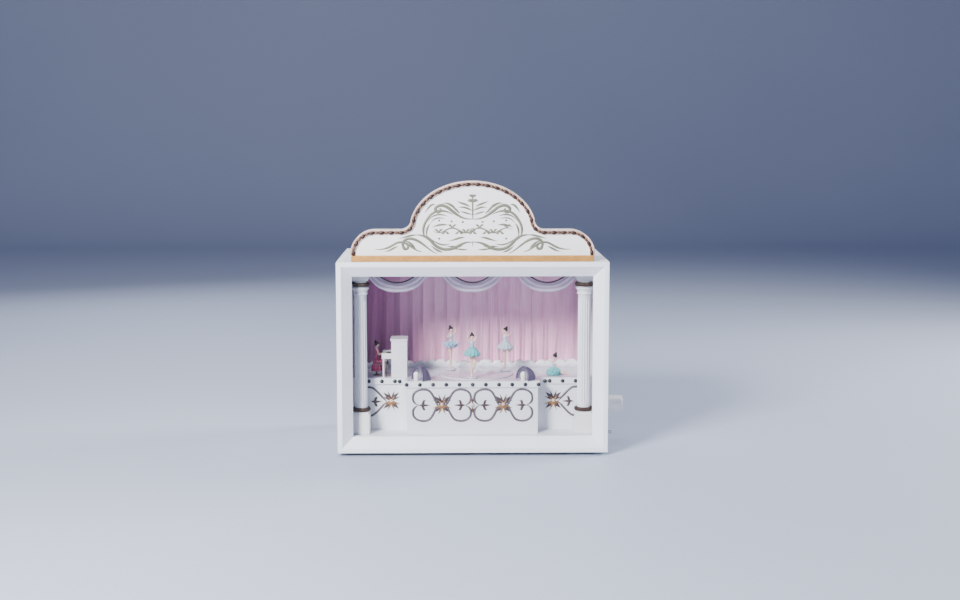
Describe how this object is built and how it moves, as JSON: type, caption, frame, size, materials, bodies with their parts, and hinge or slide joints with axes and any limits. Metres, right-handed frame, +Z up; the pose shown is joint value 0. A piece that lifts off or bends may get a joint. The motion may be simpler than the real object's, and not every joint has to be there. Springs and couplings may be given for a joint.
{
  "type": "ballet theatre music box",
  "caption": "Framed white theatre music box: curtained stage, turntable of spinning dancers, spring movement, side winding knob and stop rod.",
  "frame": {"origin": "middle of the case's width and depth, on the surface that the felt feet stand on", "axes": "+X to the right seen from the front, towards the winding knob; +Y from the front to the back; +Z up"},
  "size_m": [0.2374, 0.138, 0.2233],
  "materials": {
    "white_paint": "satin",
    "valance_cloth_paint": "satin",
    "steel": "brushed",
    "pane_glass": "clear",
    "felt": "matte",
    "sign_enamel": "satin",
    "sign_rim": "satin",
    "gilt": "satin gold paint",
    "old_gold": "antique gold paint",
    "stage_gloss": "gloss",
    "black_stud": "gloss",
    "brass": "satin",
    "curtain_satin": "soft sheen",
    "shell_pewter": "pearl",
    "bulb_white": "gloss",
    "piano_lacquer": "gloss",
    "piano_keys": "gloss",
    "stool_wood": "satin",
    "porcelain_rose": "glazed",
    "porcelain_blue": "glazed",
    "knob_white": "gloss"
  },
  "bodies": {
    "case": {"case_bottom": "white_paint", "case_top": "white_paint", "case_left": "white_paint", "case_right": "white_paint", "back_panel": "white_paint", "back_screws": "steel", "frame_rails": "white_paint", "frame_stiles": "white_paint", "glass_pane": "pane_glass", "foot_pads": "felt", "inner_floor": "white_paint", "sign_board": "sign_enamel", "sign_border": "sign_rim", "sign_strip": "gilt", "stage_floor": "stage_gloss", "apron_center": "white_paint", "apron_left": "white_paint", "apron_right": "white_paint", "apron_scrolls": "old_gold", "edge_studs": "black_stud", "ground_row": "white_paint", "columns": "white_paint", "column_bands": "gilt", "valance": "valance_cloth_paint", "valance_trim": "old_gold", "curtain_rail": "brass", "backdrop_curtain": "curtain_satin", "footlight_shells": "shell_pewter", "footlight_bulbs": "bulb_white", "piano_case": "piano_lacquer", "piano_keys": "piano_keys", "piano_stool": "stool_wood", "pianist": "porcelain_rose", "kneeling_dancer": "porcelain_blue", "sun_gear": "brass", "shaft_bridge": "steel", "foot_bearing": "brass", "bedplate": "brass", "bedplate_screws": "steel", "comb": "steel", "comb_screws": "steel", "cylinder_brackets": "brass", "shaft_bracket": "steel"},
    "turntable": {"turntable_disc": "stage_gloss", "turntable_shaft": "steel", "crown_wheel": "brass"},
    "front_figure": {"front_dancer": "porcelain_blue", "front_spindle": "brass"},
    "left_figure": {"left_dancer": "porcelain_blue", "left_spindle": "brass"},
    "right_figure": {"right_dancer": "porcelain_blue", "right_spindle": "brass"},
    "barrel": {"spring_barrel": "brass", "mainspring": "steel", "output_shaft": "steel"},
    "cylinder": {"pin_cylinder": "brass"},
    "governor": {"governor_fly": "steel"},
    "winder": {"winding_arbor": "steel", "winding_knob": "knob_white"},
    "stop": {"stop_slide": "steel"}
  },
  "joints": [
    {"name": "turntable_spin", "type": "hinge", "parent": "case", "child": "turntable", "pos_m": [0.0035, -0.014, 0.06], "axis": [0, 0, 1], "continuous": true},
    {"name": "front_dancer_spin", "type": "hinge", "parent": "turntable", "child": "front_figure", "pos_m": [-0.00026, -0.04074, 0.055], "axis": [0, 0, 1], "continuous": true},
    {"name": "left_dancer_spin", "type": "hinge", "parent": "turntable", "child": "left_figure", "pos_m": [-0.01778, 0.00262, 0.055], "axis": [0, 0, 1], "continuous": true},
    {"name": "right_dancer_spin", "type": "hinge", "parent": "turntable", "child": "right_figure", "pos_m": [0.02853, -0.00389, 0.055], "axis": [0, 0, 1], "continuous": true},
    {"name": "barrel_spin", "type": "hinge", "parent": "case", "child": "barrel", "pos_m": [0.09, -0.014, 0.0324], "axis": [1, 0, 0], "continuous": true},
    {"name": "cylinder_spin", "type": "hinge", "parent": "case", "child": "cylinder", "pos_m": [0.0856, 0.01, 0.0324], "axis": [0, 1, 0], "continuous": true},
    {"name": "governor_spin", "type": "hinge", "parent": "case", "child": "governor", "pos_m": [0.0856, 0.03, 0.0414], "axis": [0, 1, 0], "continuous": true},
    {"name": "knob_wind", "type": "hinge", "parent": "case", "child": "winder", "pos_m": [0.115, -0.014, 0.0324], "axis": [1, 0, 0], "range_deg": [0, 1710]},
    {"name": "stop_push", "type": "slide", "parent": "case", "child": "stop", "axis": [-1, 0, 0], "range_m": [0, 0.003]}
  ],
  "couplings": [
    {"joint": "front_dancer_spin", "follows": "turntable_spin", "ratio": 5.3333},
    {"joint": "left_dancer_spin", "follows": "turntable_spin", "ratio": 5.3333},
    {"joint": "right_dancer_spin", "follows": "turntable_spin", "ratio": 5.3333},
    {"joint": "barrel_spin", "follows": "turntable_spin", "ratio": -3},
    {"joint": "cylinder_spin", "follows": "turntable_spin", "ratio": 9},
    {"joint": "governor_spin", "follows": "turntable_spin", "ratio": -36}
  ]
}
